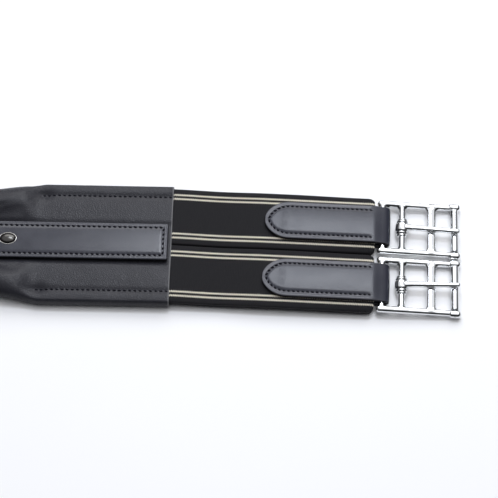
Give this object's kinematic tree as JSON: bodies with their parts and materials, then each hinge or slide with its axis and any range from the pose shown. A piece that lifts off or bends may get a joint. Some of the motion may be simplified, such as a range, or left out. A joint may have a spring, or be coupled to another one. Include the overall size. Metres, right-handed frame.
{
  "type": "saddle girth",
  "caption": "Long padded saddle girth: shaped leather body with a centre strip, elastic straps at the ends, and roller buckles on stitched leather chapes.",
  "frame": {"origin": "centre of the girth's box, on the surface that its underside lies on", "axes": "+X along the girth to the right-hand end, +Y to its back edge, +Z out of its outer face"},
  "size_m": [1.25, 0.0868, 0.0135],
  "materials": {
    "cover_leather": "soft fine-grained black leather with a low sheen",
    "bridle_leather": "smooth waxed black bridle leather, satin, edges bevelled",
    "elastic": "ribbed black elastic webbing with cream line pairs near its edges",
    "foam": "closed-cell padding foam, hidden",
    "web": "woven nylon web, hidden",
    "steel": "polished stainless steel casting",
    "nickel": "bright nickel plate"
  },
  "bodies": {
    "middle_right": {"right_middle_cover": "cover_leather", "right_middle_foam": "foam", "right_middle_web": "web", "right_middle_strip": "bridle_leather"},
    "middle_left": {"left_middle_cover": "cover_leather", "left_middle_foam": "foam", "left_middle_web": "web", "left_middle_strip": "bridle_leather"},
    "end_right": {"right_end_cover": "cover_leather", "right_end_foam": "foam", "right_end_web": "web", "right_end_strip": "bridle_leather", "strip_stud": "nickel", "stud_washer": "nickel", "right_back_elastic": "elastic", "right_front_elastic": "elastic"},
    "end_left": {"left_end_cover": "cover_leather", "left_end_foam": "foam", "left_end_web": "web", "left_end_strip": "bridle_leather", "left_back_elastic": "elastic", "left_front_elastic": "elastic"},
    "right_back_chape": {"right_back_chape": "bridle_leather"},
    "right_back_buckle": {"right_back_frame": "steel", "right_back_pin": "steel"},
    "right_back_roller": {"right_back_roller": "steel"},
    "right_back_tongue": {"right_back_tongue": "steel"},
    "right_front_chape": {"right_front_chape": "bridle_leather"},
    "right_front_buckle": {"right_front_frame": "steel", "right_front_pin": "steel"},
    "right_front_roller": {"right_front_roller": "steel"},
    "right_front_tongue": {"right_front_tongue": "steel"},
    "left_back_chape": {"left_back_chape": "bridle_leather"},
    "left_back_buckle": {"left_back_frame": "steel", "left_back_pin": "steel"},
    "left_back_roller": {"left_back_roller": "steel"},
    "left_back_tongue": {"left_back_tongue": "steel"},
    "left_front_chape": {"left_front_chape": "bridle_leather"},
    "left_front_buckle": {"left_front_frame": "steel", "left_front_pin": "steel"},
    "left_front_roller": {"left_front_roller": "steel"},
    "left_front_tongue": {"left_front_tongue": "steel"}
  },
  "joints": [
    {"name": "centre_fold", "type": "hinge", "parent": "middle_right", "child": "middle_left", "pos_m": [0, 0, 0.0138], "axis": [0, 1, 0], "range_deg": [0, 170]},
    {"name": "right_elbow_bend", "type": "hinge", "parent": "middle_right", "child": "end_right", "pos_m": [0.27, 0, 0.0138], "axis": [0, 1, 0], "range_deg": [-60, 0]},
    {"name": "left_elbow_bend", "type": "hinge", "parent": "middle_left", "child": "end_left", "pos_m": [-0.27, 0, 0.0138], "axis": [0, -1, 0], "range_deg": [-60, 0]},
    {"name": "right_back_stretch", "type": "slide", "parent": "end_right", "child": "right_back_chape", "axis": [0.9995, -0.0314, 0], "range_m": [0, 0.022], "stiffness_N_per_m": 2500, "deforming": ["right_back_elastic"]},
    {"name": "right_back_buckle_swivel", "type": "hinge", "parent": "right_back_chape", "child": "right_back_buckle", "pos_m": [0.57724, 0.01527, 0.0044], "axis": [0.0314, 0.9995, 0], "range_deg": [-80, 0]},
    {"name": "right_back_roller_spin", "type": "hinge", "parent": "right_back_buckle", "child": "right_back_roller", "pos_m": [0.62068, 0.0139, 0.0026], "axis": [0.0314, 0.9995, 0], "continuous": true},
    {"name": "right_back_tongue_swing", "type": "hinge", "parent": "right_back_buckle", "child": "right_back_tongue", "pos_m": [0.58903, 0.0149, 0.00391], "axis": [-0.0314, -0.9995, 0], "range_deg": [0, 120]},
    {"name": "right_front_stretch", "type": "slide", "parent": "end_right", "child": "right_front_chape", "axis": [0.9995, -0.0314, 0], "range_m": [0, 0.022], "stiffness_N_per_m": 2500, "deforming": ["right_front_elastic"]},
    {"name": "right_front_buckle_swivel", "type": "hinge", "parent": "right_front_chape", "child": "right_front_buckle", "pos_m": [0.57603, -0.02321, 0.0044], "axis": [0.0314, 0.9995, 0], "range_deg": [-80, 0]},
    {"name": "right_front_roller_spin", "type": "hinge", "parent": "right_front_buckle", "child": "right_front_roller", "pos_m": [0.61947, -0.02458, 0.0026], "axis": [0.0314, 0.9995, 0], "continuous": true},
    {"name": "right_front_tongue_swing", "type": "hinge", "parent": "right_front_buckle", "child": "right_front_tongue", "pos_m": [0.58782, -0.02358, 0.00391], "axis": [-0.0314, -0.9995, 0], "range_deg": [0, 120]},
    {"name": "left_back_stretch", "type": "slide", "parent": "end_left", "child": "left_back_chape", "axis": [-0.9995, 0.0314, 0], "range_m": [0, 0.022], "stiffness_N_per_m": 2500, "deforming": ["left_back_elastic"]},
    {"name": "left_back_buckle_swivel", "type": "hinge", "parent": "left_back_chape", "child": "left_back_buckle", "pos_m": [-0.57603, 0.02321, 0.0044], "axis": [-0.0314, -0.9995, 0], "range_deg": [-80, 0]},
    {"name": "left_back_roller_spin", "type": "hinge", "parent": "left_back_buckle", "child": "left_back_roller", "pos_m": [-0.61947, 0.02458, 0.0026], "axis": [-0.0314, -0.9995, 0], "continuous": true},
    {"name": "left_back_tongue_swing", "type": "hinge", "parent": "left_back_buckle", "child": "left_back_tongue", "pos_m": [-0.58782, 0.02358, 0.00391], "axis": [0.0314, 0.9995, 0], "range_deg": [0, 120]},
    {"name": "left_front_stretch", "type": "slide", "parent": "end_left", "child": "left_front_chape", "axis": [-0.9995, 0.0314, 0], "range_m": [0, 0.022], "stiffness_N_per_m": 2500, "deforming": ["left_front_elastic"]},
    {"name": "left_front_buckle_swivel", "type": "hinge", "parent": "left_front_chape", "child": "left_front_buckle", "pos_m": [-0.57724, -0.01527, 0.0044], "axis": [-0.0314, -0.9995, 0], "range_deg": [-80, 0]},
    {"name": "left_front_roller_spin", "type": "hinge", "parent": "left_front_buckle", "child": "left_front_roller", "pos_m": [-0.62068, -0.0139, 0.0026], "axis": [-0.0314, -0.9995, 0], "continuous": true},
    {"name": "left_front_tongue_swing", "type": "hinge", "parent": "left_front_buckle", "child": "left_front_tongue", "pos_m": [-0.58903, -0.0149, 0.00391], "axis": [0.0314, 0.9995, 0], "range_deg": [0, 120]}
  ]
}
